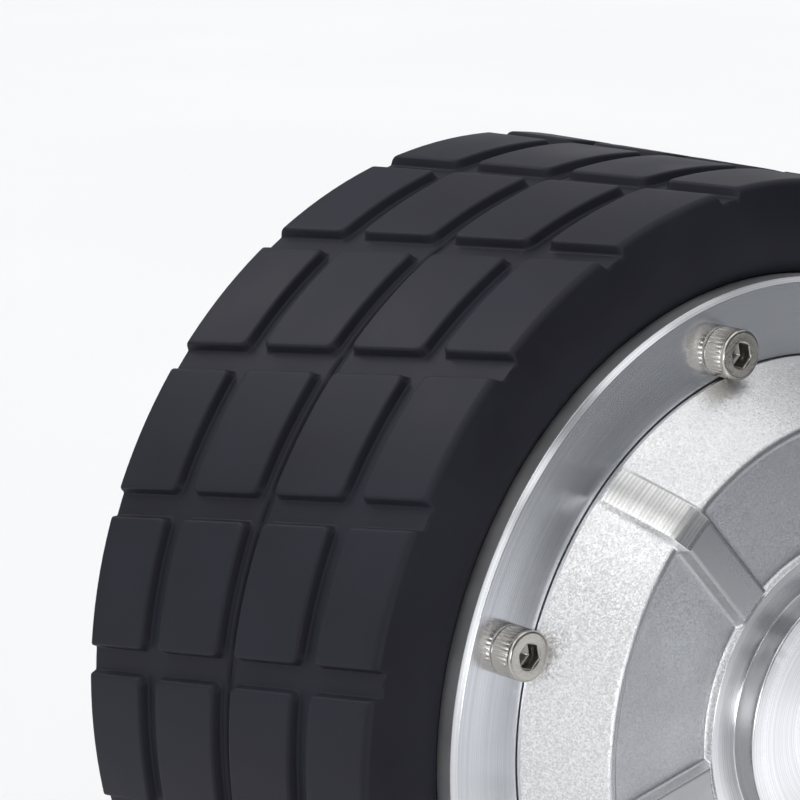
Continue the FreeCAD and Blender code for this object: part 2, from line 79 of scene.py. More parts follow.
def roundCorner(before, corner, after, radius, steps):
    back = np.subtract(before, corner)
    ahead = np.subtract(after, corner)
    back = back / np.linalg.norm(back)
    ahead = ahead / np.linalg.norm(ahead)
    half = math.acos(np.clip(np.dot(back, ahead), -1, 1)) / 2
    inward = (back + ahead) / np.linalg.norm(back + ahead)
    centre = np.add(corner, inward * radius / math.sin(half))
    start = np.add(corner, back * radius / math.tan(half)) - centre
    end = np.add(corner, ahead * radius / math.tan(half)) - centre
    sweep = math.pi - 2 * half
    turn = np.sign(start[0] * end[1] - start[1] * end[0])
    arc = []
    for step in range(steps + 1):
        angle = turn * sweep * step / steps
        cosine, sine = math.cos(angle), math.sin(angle)
        outward = centre[0] + start[0] * cosine - start[1] * sine
        along = centre[1] + start[0] * sine + start[1] * cosine
        arc.append((outward, along))
    return arc


# A section's corners are (radius, distance, rounding, finish of the run that follows, its longest step)
def sectionLine(corners, arcSteps, closed):
    count = len(corners)
    arcs = []
    for index, corner in enumerate(corners):
        point, rounding = corner[:2], corner[2]
        inside = closed or 0 < index < count - 1
        if rounding > 0 and inside:
            before = corners[index - 1][:2]
            after = corners[(index + 1) % count][:2]
            arcs.append(roundCorner(before, point, after, rounding, arcSteps))
        else:
            arcs.append([point])
    points, finishes = [], []
    for index, (arc, corner) in enumerate(zip(arcs, corners)):
        runFinish, longest = corner[3:]
        finishBefore = corners[index - 1][3]
        for place, point in enumerate(arc):
            points.append(point)
            finishes.append(finishBefore if place < (len(arc) - 1) / 2 else runFinish)
        if index == count - 1 and not closed:
            break
        start, end = np.array(arc[-1]), np.array(arcs[(index + 1) % count][0])
        pieces = max(1, math.ceil(math.dist(start, end) / longest))
        for piece in range(1, pieces):
            points.append(tuple(start + (end - start) * piece / pieces))
            finishes.append(runFinish)
    return np.array(points), finishes


# A wall one unit high with its foot at 0 and its raised side at negative offsets
def wallLine(lean, topRound, footRound, steps):
    far = 10.0
    foot = roundCorner((far, 0), (0, 0), (-lean, 1), footRound, steps)
    top = roundCorner((0, 0), (-lean, 1), (-far, 1), topRound, steps)
    return foot + top


def meshFromGrid(name, grid, wrapRows, wrapColumns, finishOf=None, finishes=()):
    rows, columns = grid.shape[:2]
    faces, marks = [], []
    for row in range(rows if wrapRows else rows - 1):
        for column in range(columns if wrapColumns else columns - 1):
            nextRow, nextColumn = (row + 1) % rows, (column + 1) % columns
            faces.append((row * columns + column, row * columns + nextColumn,
                          nextRow * columns + nextColumn, nextRow * columns + column))
            marks.append(finishes.index(finishOf(row, column)) if finishOf else 0)
    mesh = bpy.data.meshes.new(name)
    mesh.from_pydata(grid.reshape(-1, 3).tolist(), [], faces)
    mesh.polygons.foreach_set("material_index", marks)
    tidyMesh(mesh)
    return mesh


# With the longer reach it also closes rows that shrink to a point on an axis
def tidyMesh(mesh, reach=weldReach):
    work = bmesh.new()
    work.from_mesh(mesh)
    bmesh.ops.remove_doubles(work, verts=work.verts, dist=reach)
    bmesh.ops.dissolve_degenerate(work, edges=work.edges, dist=shortestEdge)
    bmesh.ops.recalc_face_normals(work, faces=work.faces)
    for face in work.faces:
        face.smooth = True
    work.to_mesh(mesh)
    work.free()


def linked(name, mesh):
    made = bpy.data.objects.new(name, mesh)
    scene.collection.objects.link(made)
    return made


# Turns an object's live modifiers into a plain mesh
def plainMesh(made):
    depsgraph = bpy.context.evaluated_depsgraph_get()
    evaluated = made.evaluated_get(depsgraph)
    mesh = bpy.data.meshes.new_from_object(evaluated, preserve_all_data_layers=True, depsgraph=depsgraph)
    made.modifiers.clear()
    made.data = mesh
    return made


def evenShading(made):
    modifier = made.modifiers.new("evenShading", "WEIGHTED_NORMAL")
    modifier.weight = flatFaceWeight
    return plainMesh(made)


# Spins a closed section (radius, distance along Y) into a ring
def spunMesh(name, section, segments):
    angles = np.linspace(0, 2 * math.pi, segments, endpoint=False)
    radius, place = section[:, 0:1], section[:, 1:2]
    across = -radius * np.sin(angles)
    along = np.broadcast_to(place, across.shape)
    up = radius * np.cos(angles)
    return meshFromGrid(name, np.stack([across, along, up], axis=2) * mm, True, True)


# Node helpers; a socket's id_data is its node tree

def addNode(tree, kind, values=None, **settings):
    node = tree.nodes.new(kind)
    for key, value in settings.items():
        setattr(node, key, value)
    for key, value in (values or {}).items():
        node.inputs[key].default_value = value
    return node


def join(start, end):
    start.id_data.links.new(start, end)


# Geometry Nodes: copies of one module about the wheel's axis

def copiesTree():
    tree = bpy.data.node_groups.new("copiesAboutAxis", "GeometryNodeTree")
    inputs = (("Module", "Geometry"), ("Copies", "Int"), ("Start angle", "Float"), ("Weld", "Float"),
              ("Finish", "Material"))
    for name, kind in inputs:
        tree.interface.new_socket(name, in_out="INPUT", socket_type="NodeSocket" + kind)
    tree.interface.new_socket("Ring", in_out="OUTPUT", socket_type="NodeSocketGeometry")
    entry, points = addNode(tree, "NodeGroupInput"), addNode(tree, "GeometryNodePoints")
    index, turn = addNode(tree, "GeometryNodeInputIndex"), addNode(tree, "FunctionNodeEulerToRotation")
    step = addNode(tree, "ShaderNodeMath", {0: 2 * math.pi}, operation="DIVIDE")
    angle = addNode(tree, "ShaderNodeMath", operation="MULTIPLY_ADD")
    euler = addNode(tree, "ShaderNodeCombineXYZ")
    kinds = ("GeometryNodeInstanceOnPoints", "GeometryNodeRealizeInstances", "GeometryNodeMergeByDistance",
             "GeometryNodeSetShadeSmooth", "GeometryNodeSetMaterial", "NodeGroupOutput")
    chain = [addNode(tree, kind) for kind in kinds]
    for before, after in zip([points] + chain, chain):
        join(before.outputs[0], after.inputs[0])
    place, weld, paint = chain[0], chain[2], chain[4]
    join(entry.outputs["Copies"], points.inputs["Count"])
    join(entry.outputs["Copies"], step.inputs[1])
    join(index.outputs[0], angle.inputs[0])
    join(step.outputs[0], angle.inputs[1])
    join(entry.outputs["Start angle"], angle.inputs[2])
    join(angle.outputs[0], euler.inputs["Y"])
    join(euler.outputs[0], turn.inputs[0])
    join(turn.outputs[0], place.inputs["Rotation"])
    join(entry.outputs["Module"], place.inputs["Instance"])
    join(entry.outputs["Weld"], weld.inputs["Distance"])
    join(entry.outputs["Finish"], paint.inputs["Material"])
    return tree


copies = copiesTree()


def ringOfCopies(name, module, count, startAngle, material, weld):
    made = linked(name, module)
    modifier = made.modifiers.new("copies", "NODES")
    modifier.node_group = copies
    values = {"Copies": count, "Start angle": startAngle, "Weld": weld, "Finish": material}
    for item in copies.interface.items_tree:
        if item.in_out == "INPUT" and item.name in values:
            modifier[item.identifier] = values[item.name]
    return plainMesh(made)


# Shader helpers

# Detail and roughness of each kind of noise, and the span that holds most of a noise's values
noiseKinds = {"cloud": (3.0, 0.5), "wash": (2.0, 0.5), "grain": (2.0, 0.6), "skin": (3.0, 0.6)}
noiseSpan = (0.3, 0.7)
mixSockets = {"dark": 6, "light": 7, "result": 2}  # the Mix node repeats its names for each type of data


def startMaterial(name, colour, metallic, roughness):
    material = bpy.data.materials.new(name)
    material.use_nodes = True
    shader = material.node_tree.nodes["Principled BSDF"]
    shader.inputs["Base Color"].default_value = (*colour, 1)
    shader.inputs["Metallic"].default_value = metallic
    shader.inputs["Roughness"].default_value = roughness
    material.diffuse_color = (*colour, 1)
    return material, material.node_tree, shader


def connect(shader, sockets):
    for name, value in sockets.items():
        join(value, shader.inputs[name])


def shaded(colour, share):
    return tuple(share * value for value in colour)


def objectPoint(tree):
    return addNode(tree, "ShaderNodeTexCoord").outputs["Object"]


# Length of the object point with each axis weighed, so that 0 leaves an axis out
def pointLength(tree, weights):
    flat = addNode(tree, "ShaderNodeVectorMath", {1: weights}, operation="MULTIPLY")
    join(objectPoint(tree), flat.inputs[0])
    length = addNode(tree, "ShaderNodeVectorMath", operation="LENGTH")
    join(flat.outputs[0], length.inputs[0])
    return length.outputs["Value"]


def noise(point, perMetre, kind, dimensions="3D"):
    made = addNode(point.id_data, "ShaderNodeTexNoise", {"Scale": perMetre}, noise_dimensions=dimensions)
    made.inputs["Detail"].default_value, made.inputs["Roughness"].default_value = noiseKinds[kind]
    join(point, made.inputs["W" if dimensions == "1D" else "Vector"])
    return made.outputs["Fac"]


def remap(value, low, high, toLow, toHigh):
    span = {"From Min": low, "From Max": high, "To Min": toLow, "To Max": toHigh}
    made = addNode(value.id_data, "ShaderNodeMapRange", span)
    join(value, made.inputs["Value"])
    return made.outputs["Result"]


def bump(height, strength, distance):
    made = addNode(height.id_data, "ShaderNodeBump", {"Strength": strength, "Distance": distance})
    join(height, made.inputs["Height"])
    return made.outputs["Normal"]


def tint(value, dark, light):
    made = addNode(value.id_data, "ShaderNodeMix", data_type="RGBA")
    made.inputs[mixSockets["dark"]].default_value = (*dark, 1)
    made.inputs[mixSockets["light"]].default_value = (*light, 1)
    join(value, made.inputs[0])
    return made.outputs[mixSockets["result"]]


# Finishes: roughness is a pair between which it wanders, depths are in metres

rubberLook = {"dark": (0.0090, 0.0090, 0.0150), "light": (0.0150, 0.0150, 0.0245), "roughness": (0.50, 0.62),
              "specular": 0.2, "cloudPerMetre": 90, "grainPerMetre": 5200, "grainStrength": 0.16,
              "grainDepth": 0.00006}


def makeMouldedRubber():
    look = rubberLook
    material, tree, shader = startMaterial("mouldedRubber", look["light"], 0.0, look["roughness"][0])
    point = objectPoint(tree)
    cloud = noise(point, look["cloudPerMetre"], "cloud")
    grain = noise(point, look["grainPerMetre"], "grain")
    shader.inputs["Specular IOR Level"].default_value = look["specular"]
    connect(shader, {
        "Base Color": tint(remap(cloud, *noiseSpan, 0, 1), look["dark"], look["light"]),
        "Roughness": remap(cloud, *noiseSpan, *look["roughness"]),
        "Normal": bump(grain, look["grainStrength"], look["grainDepth"]),
    })
    return material


castSkin = {"cloudPerMetre": 130, "bumpsPerMetre": 4000, "bumpDepth": 0.00008, "lightest": 1.1}
# Name, colour, roughness, grains per metre, their lean, their darkest shade, bump strength
castLooks = {
    "cast": ("castAluminium", (0.80, 0.805, 0.815), (0.32, 0.44), 6600, 0.26, 0.78, 0.3),
    # The plateau's colour is painted shade, darker than the cone's for the same cast skin
    "skin": ("castPlateau", (0.55, 0.555, 0.57), (0.34, 0.44), 8000, 0.12, 0.86, 0.16),
}


# Cast skin: every small grain leans its own way, so that some of them glint
def makeCast(name, colour, roughness, grainPerMetre, sparkle, grainShade, bumpStrength):
    material, tree, shader = startMaterial(name, colour, 1.0, roughness[0])
    point = objectPoint(tree)
    grains = addNode(tree, "ShaderNodeTexVoronoi", {"Scale": grainPerMetre}, feature="F1")
    join(point, grains.inputs["Vector"])
    shade = addNode(tree, "ShaderNodeSeparateColor")
    join(grains.outputs["Color"], shade.inputs[0])
    light = tuple(min(1, value) for value in shaded(colour, castSkin["lightest"]))
    centred = addNode(tree, "ShaderNodeVectorMath", {1: (-0.5, -0.5, -0.5)}, operation="ADD")
    join(grains.outputs["Color"], centred.inputs[0])
    lean = addNode(tree, "ShaderNodeVectorMath", {"Scale": sparkle}, operation="SCALE")
    join(centred.outputs[0], lean.inputs[0])
    cloud = noise(point, castSkin["cloudPerMetre"], "cloud")
    bumps = noise(point, castSkin["bumpsPerMetre"], "skin")
    tilted = addNode(tree, "ShaderNodeVectorMath", operation="ADD")
    join(bump(bumps, bumpStrength, castSkin["bumpDepth"]), tilted.inputs[0])
    join(lean.outputs[0], tilted.inputs[1])
    unit = addNode(tree, "ShaderNodeVectorMath", operation="NORMALIZE")
    join(tilted.outputs[0], unit.inputs[0])
    connect(shader, {
        "Base Color": tint(shade.outputs["Red"], shaded(colour, grainShade), light),
        "Roughness": remap(cloud, *noiseSpan, *roughness),
        "Normal": unit.outputs[0],
    })
    return material


turningMarks = {"waveHeight": 0.12, "unevenShare": 0.8, "bandShare": 0.12, "lineSpan": (0.35, 0.65),
                "strength": 0.4, "quarterTurn": 0.25}
# Name, colour, roughness, lines per metre, their darkest shade, line depth, anisotropy
turnedLooks = {
    "turned": ("turnedAluminium", (0.79, 0.79, 0.78), (0.22, 0.28), 5000, 0.78, 0.00003, 0.9),
    # The flange's colour is darkened as painted shade, below the other turned faces
    "flange": ("turnedFlange", (0.69, 0.70, 0.725), (0.22, 0.27), 3400, 0.88, 0.000006, 0.75),
    "face": ("turnedFace", (0.97, 0.97, 0.98), (0.26, 0.32), 3400, 0.86, 0.00001, 0.85),
    "axle": ("groundSteel", (0.56, 0.56, 0.57), (0.24, 0.34), 7000, 0.9, 0.00001, 0.3),
}


# Turned skin: fine uneven rings about the wheel's axis
def makeTurned(name, colour, roughness, linesPerMetre, lineShade, lineDepth, anisotropy):
    material, tree, shader = startMaterial(name, colour, 1.0, roughness[0])
    radius = pointLength(tree, (1, 0, 1))
    feed = addNode(tree, "ShaderNodeMath", {1: linesPerMetre * 2 * math.pi}, operation="MULTIPLY")
    join(radius, feed.inputs[0])
    wave = addNode(tree, "ShaderNodeMath", operation="SINE")
    join(feed.outputs[0], wave.inputs[0])
    uneven = noise(radius, linesPerMetre * turningMarks["unevenShare"], "skin", "1D")
    lines = addNode(tree, "ShaderNodeMath", {1: turningMarks["waveHeight"]}, operation="MULTIPLY_ADD")
    join(wave.outputs[0], lines.inputs[0])
    join(uneven, lines.inputs[2])
    shade = remap(lines.outputs[0], *turningMarks["lineSpan"], 0, 1)
    bands = noise(radius, linesPerMetre * turningMarks["bandShare"], "wash", "1D")
    shader.inputs["Anisotropic"].default_value = anisotropy
    shader.inputs["Anisotropic Rotation"].default_value = turningMarks["quarterTurn"]
    tangent = addNode(tree, "ShaderNodeTangent", direction_type="RADIAL", axis="Y")
    connect(shader, {
        "Base Color": tint(shade, shaded(colour, lineShade), colour),
        "Roughness": remap(bands, *noiseSpan, *roughness),
        "Tangent": tangent.outputs[0],
        "Normal": bump(lines.outputs[0], turningMarks["strength"], lineDepth),
    })
    return material


satinGrain = {"cloudPerMetre": 160, "grainPerMetre": 2600, "strength": 0.3}
# Name, colour, roughness, grain depth
satinLooks = {
    # The rib tops' satin colour is darkened as painted shade, below the aluminium's own
    "satin": ("satinAluminium", (0.42, 0.42, 0.43), (0.24, 0.30), 0.000008),
    "polished": ("polishedAluminium", (0.88, 0.885, 0.90), (0.12, 0.18), 0.00004),
    # The flange side's colour is darkened as painted shade for its angle away from the light
    "side": ("flangeSide", (0.60, 0.605, 0.625), (0.50, 0.60), 0.00004),
    # The boss wall's colour is darkened as painted shade, below the polished land's
    "wall": ("bossWall", (0.36, 0.365, 0.375), (0.12, 0.18), 0.00004),
    # The groove's dark colour is painted shade for the narrow gap at the cone's foot
    "groove": ("shadedGroove", (0.36, 0.36, 0.37), (0.45, 0.55), 0.00004),
    "bearing": ("polishedSteel", (0.70, 0.70, 0.72), (0.10, 0.16), 0.00004),
}


def makeSatin(name, colour, roughness, grainDepth):
    material, tree, shader = startMaterial(name, colour, 1.0, roughness[0])
    point = objectPoint(tree)
    grain = noise(point, satinGrain["grainPerMetre"], "grain")
    cloud = noise(point, satinGrain["cloudPerMetre"], "wash")
    connect(shader, {
        "Roughness": remap(cloud, *noiseSpan, *roughness),
        "Normal": bump(grain, satinGrain["strength"], grainDepth),
    })
    return material


# The socket colour is painted shade for the deep hex socket and, at half share, for the head's top
screwLook = {"colour": (0.54, 0.515, 0.47), "socket": (0.34, 0.325, 0.295), "roughness": (0.16, 0.24),
             "grainDepth": 0.00004}


# Stainless steel with painted shade: darker in the hex socket's recess, and half as dark on the head's top
def makeScrewSteel():
    bright = screwLook["colour"]
    material = makeSatin("stainlessScrew", bright, screwLook["roughness"], screwLook["grainDepth"])
    inside = addNode(material.node_tree, "ShaderNodeAttribute", attribute_name="socket").outputs["Fac"]
    shader = material.node_tree.nodes["Principled BSDF"]
    join(tint(inside, bright, screwLook["socket"]), shader.inputs["Base Color"])
    return material


# Name, darker and lighter colour, metallic, roughness, clouds and grains per metre, grain depth
plainLooks = {
    "steel": ("plainSteel", (0.33, 0.33, 0.35), (0.42, 0.42, 0.44), 1.0, (0.35, 0.5), 300, 4000, 0.00003),
    "magnet": ("nickelMagnet", (0.46, 0.46, 0.47), (0.53, 0.53, 0.55), 1.0, (0.2, 0.3), 300, 4000, 0.00002),
    "sealRubber": ("sealRubber", (0.020, 0.020, 0.022), (0.034, 0.034, 0.036), 0.0, (0.5, 0.62), 400, 6000,
                   0.00004),
    "insulator": ("insulatorPlastic", (0.80, 0.78, 0.70), (0.87, 0.85, 0.78), 0.0, (0.4, 0.5), 300, 4000,
                  0.00003),
    "winding": ("windingCopper", (0.46, 0.18, 0.07), (0.60, 0.26, 0.12), 0.8, (0.25, 0.35), 900, 3000,
                0.0001),
    "cage": ("pressedCage", (0.50, 0.43, 0.28), (0.60, 0.52, 0.36), 1.0, (0.3, 0.4), 500, 4000, 0.00002),
    "brass": ("turnedBrass", (0.60, 0.46, 0.20), (0.70, 0.56, 0.28), 1.0, (0.25, 0.35), 500, 4000, 0.00002),
    "board": ("solderMask", (0.015, 0.13, 0.055), (0.025, 0.18, 0.08), 0.0, (0.3, 0.4), 700, 3000, 0.00002),
    "chip": ("chipPlastic", (0.025, 0.025, 0.028), (0.040, 0.040, 0.044), 0.0, (0.45, 0.55), 700, 5000,
             0.00002),
}
plainStrength = 0.3


def makePlain(name, dark, light, metallic, roughness, cloudPerMetre, grainPerMetre, grainDepth):
    material, tree, shader = startMaterial(name, light, metallic, roughness[0])
    point = objectPoint(tree)
    cloud = remap(noise(point, cloudPerMetre, "cloud"), *noiseSpan, 0, 1)
    grain = noise(point, grainPerMetre, "grain")
    connect(shader, {
        "Base Color": tint(cloud, dark, light),
        "Roughness": remap(cloud, 0, 1, *roughness),
        "Normal": bump(grain, plainStrength, grainDepth),
    })
    return material


finish = {"rubber": makeMouldedRubber(), "stainless": makeScrewSteel()}
for make, looks in ((makeCast, castLooks), (makeTurned, turnedLooks), (makeSatin, satinLooks),
                    (makePlain, plainLooks)):
    for key, look in looks.items():
        finish[key] = make(*look)
print("finishes made:", len(finish))

# Slots whose finish has another name
slotFinish = {
    "tyre_rubber": "rubber", "cast_aluminium": "cast", "turned_aluminium": "turned", "axle_steel": "axle",
    "bearing_steel": "bearing", "plain_steel": "steel", "seal_rubber": "sealRubber", "circuit_board": "board",
}
for part in frame["record"]["subparts"]:
    solid = nodes[part["node"]].data
    solid.materials.clear()
    slot = part["material_slot"]
    solid.materials.append(finish[slotFinish.get(slot, slot)])


# Tyre: one pitch of the tread, copied round; millimetres and degrees

tyre = {
    "pitches": 20, "rowPitch": 13.2, "rowMouth": 3.0, "crossMouth": 3.3, "depth": 1.15,
    "lean": 0.34, "topRound": 0.35, "footRound": 0.30, "wallSteps": 3, "cornerRound": 1.0,
    "skew": 9.5, "grooveAngle": 10.8,
    "edgeLines": (0.9, 1.3), "rowLines": (3.2, 5.0),  # mesh lines inside a block, from its foot
    "middleLines": 6, "middleShare": 0.75,
    "shoulder": 0.9, "shoulderSteps": 7, "bulge": 0.35, "sideSteps": 12,
    "beadGap": 0.2, "beadDepth": 0.8, "beadDrop": 0.5,
    "partingPlace": 0.0, "partingHalf": 0.22, "partingDepth": 1.1,
    "partingFloor": 0.3,  # share of the seam that is its flat floor
    "keyOffset": 10.0, "keyWidth": 4.0, "keyDepth": 0.8,
    "weld": 3e-6,
}
wellInside = -9.0  # stands for a place that no groove between rows reaches


# Places across the tread, how far each lies outside its block's foot, and the seam's dip there
def treadRows(edge, wall):
    foot = tyre["rowMouth"] / 2 - tyre["lean"]
    offsets = [offset for offset, height in wall]
    offsets += [-line for line in tyre["edgeLines"] + tyre["rowLines"]]
    grooves = np.array([-1, 0, 1]) * tyre["rowPitch"]
    places = [-edge, edge]
    for groove in grooves:
        for offset in offsets:
            places += [groove - foot + offset, groove + foot - offset]
    places = [place for place in places if abs(place) <= edge]
    seamHalf = tyre["partingHalf"]
    seamFloor = tyre["partingFloor"] * seamHalf
    places += [tyre["partingPlace"] + offset for offset in (-seamHalf, -seamFloor, seamFloor, seamHalf)]
    places = np.array(sorted(places + [grooves[0], grooves[-1]]))
    outside = foot - np.abs(places[:, None] - grooves).min(axis=1)
    fromSeam = np.abs(places - tyre["partingPlace"])
    dips = np.interp(fromSeam, [seamFloor, seamHalf], [tyre["partingDepth"], 0])
    return places, outside, dips


# Gap beside the cover's edge, swelling sidewall and round shoulder
def tyreFlank(half, edge):
    shoulderRadius = treadRadius - tyre["shoulder"]
    beadRadius = 2 * flangeRadius - rimRadius
    swell = tyreSide - (rimHalf + half) / 2
    side = []
    for share in np.linspace(0, 1, tyre["sideSteps"] + 1)[1:-1]:
        radius = beadRadius + (shoulderRadius - beadRadius) * share
        flat = rimHalf + (half - rimHalf) * share
        side.append((radius, flat + swell * 4 * share * (1 - share)))
    shoulder = []
    for angle in np.linspace(0, math.pi / 2, tyre["shoulderSteps"] + 1)[:-1]:
        shoulder.append((shoulderRadius + tyre["shoulder"] * math.sin(angle),
                         edge + tyre["shoulder"] * math.cos(angle)))
    gapEdge = flangeRadius + tyre["beadGap"]
    gapFloor = rimHalf - tyre["beadDepth"]
    gap = [(rimRadius, gapFloor), (gapEdge, gapFloor), (gapEdge, rimHalf - tyre["beadDrop"])]
    return gap + side + shoulder


# Bore with the two keys that hold the rubber on the rim
def tyreBore():
    low = tyre["keyOffset"] - tyre["keyWidth"] / 2
    high = tyre["keyOffset"] + tyre["keyWidth"] / 2
    keyed = rimRadius - tyre["keyDepth"]
    bore = [(rimRadius, high), (keyed, high), (keyed, low), (rimRadius, low)]
    return bore + [(radius, -place) for radius, place in reversed(bore)]


def tyreModule():
    half = tyreSide - tyre["bulge"]
    edge = half - tyre["shoulder"]
    flank = tyreFlank(half, edge)
    wall = wallLine(tyre["lean"], tyre["topRound"], tyre["footRound"], tyre["wallSteps"])
    section = [(radius, -place, wellInside, 0) for radius, place in flank]
    section += [(treadRadius, *row) for row in zip(*treadRows(edge, wall))]
    section += [(radius, place, wellInside, 0) for radius, place in reversed(flank)]
    section += [(radius, place, wellInside, 0) for radius, place in tyreBore()]
    radii, places, pastRow, dips = np.array(section).T

    pitch = 2 * math.pi * treadRadius / tyre["pitches"]
    foot = pitch / 2 - (tyre["crossMouth"] / 2 - tyre["lean"])
    ends = [foot + offset for offset, height in wall] + [foot - line for line in tyre["edgeLines"]]
    middle = (foot - tyre["edgeLines"][-1]) * tyre["middleShare"]
    along = [-pitch / 2, pitch / 2] + ends + [-place for place in ends]
    along += list(np.linspace(-middle, middle, tyre["middleLines"]))

    above = np.maximum(radii - (treadRadius - tyre["depth"]), 0)
    slope = math.tan(math.radians(tyre["skew"])) / treadRadius
    offsets, heights = np.array(wall[::-1]).T
    corner = tyre["cornerRound"]
    pastSide = pastRow + corner
    grid = np.zeros((len(along), len(section), 3))
    for row, place in enumerate(sorted(along)):
        pastEnd = abs(place) - foot + corner
        outside = np.hypot(max(pastEnd, 0), np.maximum(pastSide, 0))
        outside += np.minimum(np.maximum(pastEnd, pastSide), 0)
        raised = np.interp(outside - corner, offsets, heights)
        radius = radii - above * (1 - raised) - dips
        turn = place / treadRadius + slope * np.clip(places, -half, half)
        grid[row] = np.stack([-radius * np.sin(turn), places, radius * np.cos(turn)], axis=1)
    return meshFromGrid("tyrePitch", grid * mm, False, True)


blockAngle = math.radians(tyre["grooveAngle"] + 180 / tyre["pitches"])
tyrePiece = ringOfCopies("tyre_tread", tyreModule(), tyre["pitches"], -blockAngle, finish["rubber"],
                         tyre["weld"])
tidyMesh(tyrePiece.data)
evenShading(tyrePiece)
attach(tyrePiece, "wheel")
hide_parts("tyre")
print("tyre:", len(tyrePiece.data.polygons), "faces")


# Covers: a turned section with six cast ribs; millimetres and degrees

cover = {
    "bossRadius": 15.5, "bossRound": 0.25,
    "landRadius": 18.8, "landFace": 35.6, "landBlend": 0.25,
    "plateau": 35.0, "dip": 0.28, "lipWidth": 0.6, "lipBlend": 0.35,
    "ridgeRadius": 32.9, "ridgeRound": 0.8, "stepRadius": 37.9, "stepFace": 26.6,
    "reliefWidth": 0.13, "reliefDepth": 0.45,
    "flangeFace": 26.0, "flangeChamfer": 0.55, "skirt": 0.7, "skirtFit": 0.03,
    "wall": 3.0, "spigotRadius": 37.58, "spigotBore": 34.6, "spigotLength": 3.0,
    "ribs": 6, "ribAngle": 42.7, "ribWidth": 4.6, "ribHeight": 0.75, "ribRise": 1.0,
    "ribStart": 0.1, "ribBlend": 0.25, "ribKnee": 1.3, "ribCrown": 0.14, "ribFoot": 0.3,
    "ribLean": 0.45, "ribTopRound": 0.14, "ribFootRound": 0.4, "ribMargin": 0.4,
    "ribTopLines": (0, 0.35, 0.7),  # shares of half the rib's width
    "wallSteps": 3, "arcSteps": 5, "freeLines": 22,
}
frontPocket = {"radius": 14.0, "floor": 36.0, "start": 27.3, "outside": 17.5}
rearPocket = {"radius": 15.0, "lip": 34.3, "lipRadius": 13.2, "lipEnd": 35.1, "sealRadius": 13.5,
              "start": 27.3, "outside": 18.5}
coneRun = cover["stepRadius"] - cover["ridgeRadius"]
coneFall = cover["plateau"] - cover["stepFace"]
coneLength = math.hypot(coneRun, coneFall)
coverFinishes = ("cast", "skin", "turned", "satin", "polished", "side", "wall", "groove", "flange", "face")


def outerCorners(isRear):
    plateau, low = cover["plateau"], cover["plateau"] - cover["dip"]
    boss, land, landFace = cover["bossRadius"], cover["landRadius"], cover["landFace"]
    ridge, lip = cover["ridgeRadius"], cover["ridgeRadius"] - cover["lipWidth"]
    step, relief = cover["stepRadius"], cover["stepRadius"] + cover["reliefWidth"]
    face, reliefFloor = cover["flangeFace"], cover["flangeFace"] - cover["reliefDepth"]
    chamfer = cover["flangeChamfer"]
    skirtRadius, skirtEnd = rimRadius + cover["skirtFit"], rimHalf - cover["skirt"]
    return [
        (rearPocket["sealRadius"] if isRear else 0, bossFace, 0, "face", 2.0),
        (boss, bossFace, cover["bossRound"], "wall", 1.0),
        (boss, landFace, 0.2, "face", 1.2),
        (land, landFace, 0.12, "cast", 0.25),
        (land + cover["landBlend"], low, 0.4, "skin", 1.2),
        (lip - cover["lipBlend"], low, 0.2, "skin", 0.5),
        (lip, plateau, 0.15, "skin", 0.5),
        (ridge, plateau, cover["ridgeRound"], "cast", 0.9),
        (step, cover["stepFace"], 0.15, "polished", 0.6),
        (step, reliefFloor, 0.05, "groove", 0.6),
        (relief, reliefFloor, 0.05, "groove", 0.6),
        (relief, face, 0.05, "flange", 1.2),
        (flangeRadius - chamfer, face, 0.12, "flange", 0.4),
        (flangeRadius, face - chamfer, 0.2, "side", 0.7),
        (flangeRadius, skirtEnd, 0.1, "turned", 2.0),
        (skirtRadius, skirtEnd, 0, "turned", 2.0),
        (skirtRadius, rimHalf, 0, "turned", 2.0),
    ]


def innerCorners(isRear):
    pocket = rearPocket if isRear else frontPocket
    radius, outside, start = pocket["radius"], pocket["outside"], pocket["start"]
    roof = cover["plateau"] - cover["wall"]
    bore, spigot, spigotEnd = cover["spigotBore"], cover["spigotRadius"], rimHalf - cover["spigotLength"]
    steepness = coneFall / coneRun
    innerRidge = cover["ridgeRadius"] - cover["wall"] * coneFall / coneLength
    innerTop = cover["plateau"] - cover["wall"] * coneRun / coneLength
    corners = [
        (spigot, rimHalf, 0, "turned", 2.0),
        (spigot, spigotEnd, 0.2, "turned", 2.0),
        (bore, spigotEnd, 0.2, "cast", 2.0),
        (bore, innerTop - (bore - innerRidge) * steepness, 0.5, "cast", 2.0),
        (innerRidge + (innerTop - roof) / steepness, roof, 0.8, "cast", 3.0),
        (outside, roof, 0.5, "cast", 2.0),
        (outside, start, 0.2, "turned", 2.0),
        (radius, start, 0.2, "turned", 2.0),
    ]
    if isRear:
        return corners + [
            (radius, pocket["lip"], 0, "turned", 2.0),
            (pocket["lipRadius"], pocket["lip"], 0, "turned", 2.0),
            (pocket["lipRadius"], pocket["lipEnd"], 0, "turned", 2.0),
            (pocket["sealRadius"], pocket["lipEnd"], 0, "turned", 2.0),
        ]
    return corners + [
        (radius, pocket["floor"], 0, "turned", 4.0),
        (0, pocket["floor"], 0, "turned", 4.0),
    ]


